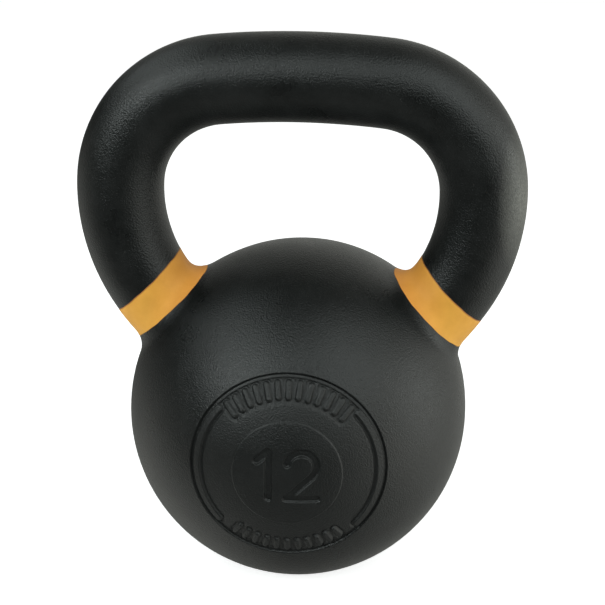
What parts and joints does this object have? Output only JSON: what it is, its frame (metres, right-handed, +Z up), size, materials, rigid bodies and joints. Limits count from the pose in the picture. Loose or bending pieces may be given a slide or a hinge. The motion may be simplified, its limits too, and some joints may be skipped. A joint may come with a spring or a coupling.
{
  "type": "kettlebell",
  "caption": "Cast-iron kettlebell: a ball with a flat base and a looped handle on two horns, coated black, with an orange weight band round the foot of each horn.",
  "frame": {"origin": "middle of the flat base, on the surface that the bell stands on", "axes": "+Z up, from the base to the grip bar; X along the grip bar; the medallion faces -Y"},
  "size_m": [0.1786, 0.1381, 0.2175],
  "materials": {
    "coated_iron": "black powder coat, satin, with a fine orange-peel grain",
    "band_paint": "matt orange paint, slightly mottled"
  },
  "bodies": {
    "root": {"bell_casting": "coated_iron", "right_colour_band": "band_paint", "left_colour_band": "band_paint"}
  },
  "joints": []
}
